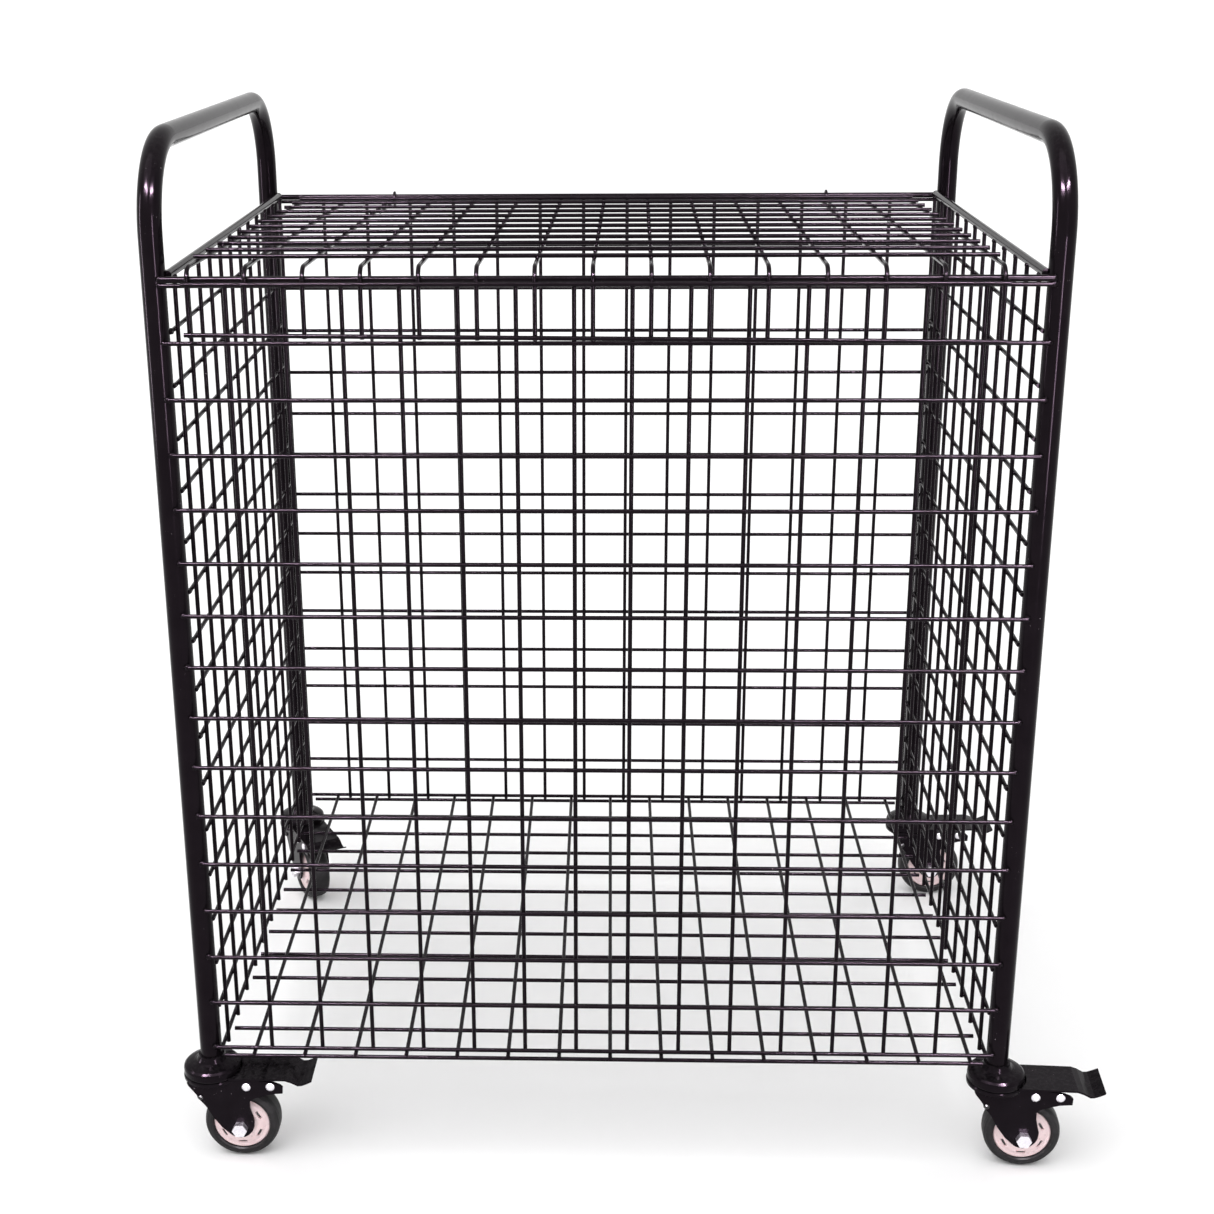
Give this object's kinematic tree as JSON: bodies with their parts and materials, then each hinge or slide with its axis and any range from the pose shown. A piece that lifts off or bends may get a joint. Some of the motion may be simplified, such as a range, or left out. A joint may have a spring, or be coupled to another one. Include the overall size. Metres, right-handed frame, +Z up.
{
  "type": "roll cage container",
  "caption": "Wire mesh roll cage with a hinged mesh lid, two bent tube side handles and braked swivel casters under the corner posts.",
  "frame": {"origin": "on the floor, under the middle of the four corner posts", "axes": "+X to the right seen from the front, +Y to the rear where the lid is hinged, +Z up"},
  "size_m": [0.9069, 0.6328, 1.0022],
  "materials": {
    "tube_paint": "gloss",
    "rail_paint": "gloss",
    "wire_paint": "gloss",
    "black_plastic": "matte",
    "fork_paint": "gloss",
    "zinc": "satin",
    "tyre_rubber": "matte",
    "hub_plastic": "satin"
  },
  "bodies": {
    "cage": {"left_hoop": "tube_paint", "right_hoop": "tube_paint", "front_rail": "rail_paint", "rear_rail": "rail_paint", "left_rail": "rail_paint", "right_rail": "rail_paint", "front_mesh": "wire_paint", "rear_mesh": "wire_paint", "left_mesh": "wire_paint", "right_mesh": "wire_paint", "floor_mesh": "wire_paint", "post_plugs": "black_plastic", "fl_stem": "fork_paint", "fr_stem": "fork_paint", "rl_stem": "fork_paint", "rr_stem": "fork_paint"},
    "lid": {"lid_mesh": "wire_paint", "left_hinge_hook": "wire_paint", "right_hinge_hook": "wire_paint"},
    "fl_swivel": {"fl_fork": "fork_paint", "fl_balls": "zinc", "fl_rivet": "zinc", "fl_axle": "zinc", "fl_nut": "zinc"},
    "fl_brake": {"fl_pedal": "fork_paint"},
    "fl_wheel": {"fl_tyre": "tyre_rubber", "fl_hub": "hub_plastic"},
    "fr_swivel": {"fr_fork": "fork_paint", "fr_balls": "zinc", "fr_rivet": "zinc", "fr_axle": "zinc", "fr_nut": "zinc"},
    "fr_brake": {"fr_pedal": "fork_paint"},
    "fr_wheel": {"fr_tyre": "tyre_rubber", "fr_hub": "hub_plastic"},
    "rl_swivel": {"rl_fork": "fork_paint", "rl_balls": "zinc", "rl_rivet": "zinc", "rl_axle": "zinc", "rl_nut": "zinc"},
    "rl_brake": {"rl_pedal": "fork_paint"},
    "rl_wheel": {"rl_tyre": "tyre_rubber", "rl_hub": "hub_plastic"},
    "rr_swivel": {"rr_fork": "fork_paint", "rr_balls": "zinc", "rr_rivet": "zinc", "rr_axle": "zinc", "rr_nut": "zinc"},
    "rr_brake": {"rr_pedal": "fork_paint"},
    "rr_wheel": {"rr_tyre": "tyre_rubber", "rr_hub": "hub_plastic"}
  },
  "joints": [
    {"name": "lid_hinge", "type": "hinge", "parent": "cage", "child": "lid", "pos_m": [0, 0.2977, 0.8771], "axis": [-1, 0, 0], "range_deg": [0, 235]},
    {"name": "fl_swivel_turn", "type": "hinge", "parent": "cage", "child": "fl_swivel", "pos_m": [-0.3875, -0.2878, 0.096], "axis": [0, 0, 1], "continuous": true},
    {"name": "fl_wheel_spin", "type": "hinge", "parent": "fl_swivel", "child": "fl_wheel", "pos_m": [-0.3595, -0.2878, 0.0375], "axis": [0, 1, 0], "continuous": true},
    {"name": "fl_brake_press", "type": "hinge", "parent": "fl_swivel", "child": "fl_brake", "pos_m": [-0.351, -0.2878, 0.0846], "axis": [0, 1, 0], "range_deg": [0, 6]},
    {"name": "fr_swivel_turn", "type": "hinge", "parent": "cage", "child": "fr_swivel", "pos_m": [0.3875, -0.2878, 0.096], "axis": [0, 0, 1], "continuous": true},
    {"name": "fr_wheel_spin", "type": "hinge", "parent": "fr_swivel", "child": "fr_wheel", "pos_m": [0.41546, -0.28927, 0.0375], "axis": [0.0523, 0.9986, 0], "continuous": true},
    {"name": "fr_brake_press", "type": "hinge", "parent": "fr_swivel", "child": "fr_brake", "pos_m": [0.42395, -0.28971, 0.0846], "axis": [0.0523, 0.9986, 0], "range_deg": [0, 6]},
    {"name": "rl_swivel_turn", "type": "hinge", "parent": "cage", "child": "rl_swivel", "pos_m": [-0.3875, 0.2878, 0.096], "axis": [0, 0, 1], "continuous": true},
    {"name": "rl_wheel_spin", "type": "hinge", "parent": "rl_swivel", "child": "rl_wheel", "pos_m": [-0.37435, 0.26308, 0.0375], "axis": [0.8829, 0.4695, 0], "continuous": true},
    {"name": "rl_brake_press", "type": "hinge", "parent": "rl_swivel", "child": "rl_brake", "pos_m": [-0.37036, 0.25557, 0.0846], "axis": [0.8829, 0.4695, 0], "range_deg": [0, 6]},
    {"name": "rr_swivel_turn", "type": "hinge", "parent": "cage", "child": "rr_swivel", "pos_m": [0.3875, 0.2878, 0.096], "axis": [0, 0, 1], "continuous": true},
    {"name": "rr_wheel_spin", "type": "hinge", "parent": "rr_swivel", "child": "rr_wheel", "pos_m": [0.41548, 0.28878, 0.0375], "axis": [-0.0349, 0.9994, 0], "continuous": true},
    {"name": "rr_brake_press", "type": "hinge", "parent": "rr_swivel", "child": "rr_brake", "pos_m": [0.42398, 0.28907, 0.0846], "axis": [-0.0349, 0.9994, 0], "range_deg": [0, 6]}
  ]
}
